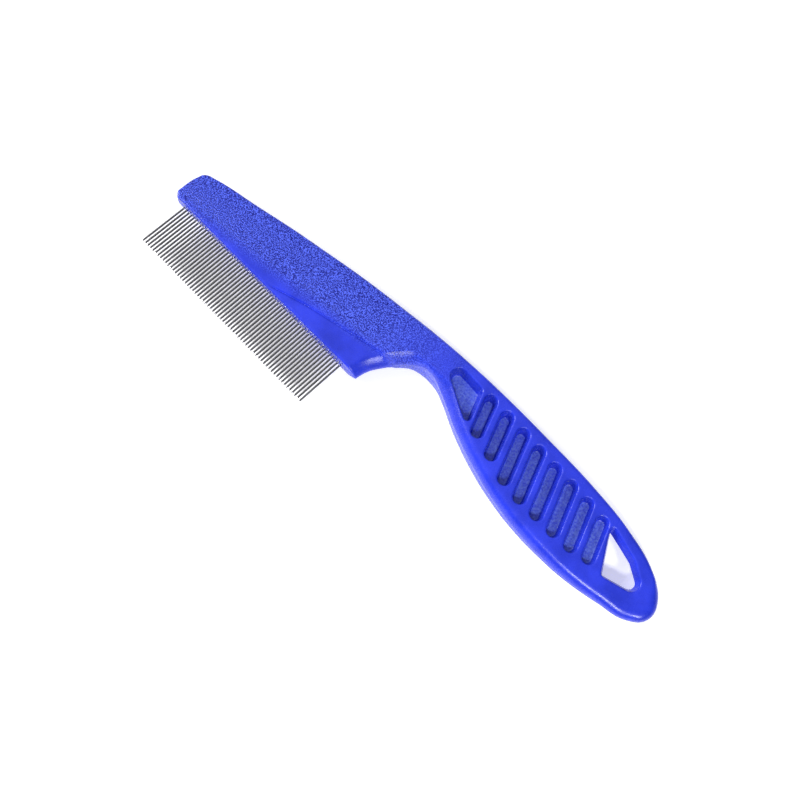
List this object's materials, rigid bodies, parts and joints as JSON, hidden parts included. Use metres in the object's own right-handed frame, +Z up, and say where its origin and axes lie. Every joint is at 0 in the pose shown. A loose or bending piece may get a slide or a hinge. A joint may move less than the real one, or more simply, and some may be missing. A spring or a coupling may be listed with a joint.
{
  "type": "flea comb",
  "caption": "Fine-toothed grooming comb: round steel wire teeth in a thin moulded head, with a curved neck and a slotted handle.",
  "frame": {"origin": "middle of the footprint's bounding box, on the surface that the comb lies on", "axes": "+X from the tip of the head to the end of the handle, +Y from the teeth to the spine, +Z up through the thickness"},
  "size_m": [0.1768, 0.0415, 0.0108],
  "materials": {
    "blue_plastic": "moulded plastic with a fine grain, satin",
    "steel_wire": "drawn bright steel wire"
  },
  "bodies": {
    "root": {"comb_body": "blue_plastic", "tooth_pair_01": "steel_wire", "tooth_pair_02": "steel_wire", "tooth_pair_03": "steel_wire", "tooth_pair_04": "steel_wire", "tooth_pair_05": "steel_wire", "tooth_pair_06": "steel_wire", "tooth_pair_07": "steel_wire", "tooth_pair_08": "steel_wire", "tooth_pair_09": "steel_wire", "tooth_pair_10": "steel_wire", "tooth_pair_11": "steel_wire", "tooth_pair_12": "steel_wire", "tooth_pair_13": "steel_wire", "tooth_pair_14": "steel_wire", "tooth_pair_15": "steel_wire", "tooth_pair_16": "steel_wire", "tooth_pair_17": "steel_wire", "tooth_pair_18": "steel_wire", "tooth_pair_19": "steel_wire", "tooth_pair_20": "steel_wire", "tooth_pair_21": "steel_wire", "tooth_pair_22": "steel_wire", "tooth_pair_23": "steel_wire", "tooth_pair_24": "steel_wire", "tooth_pair_25": "steel_wire", "tooth_pair_26": "steel_wire", "tooth_pair_27": "steel_wire", "tooth_pair_28": "steel_wire", "tooth_pair_29": "steel_wire", "tooth_pair_30": "steel_wire", "tooth_pair_31": "steel_wire", "tooth_end": "steel_wire"}
  },
  "joints": []
}
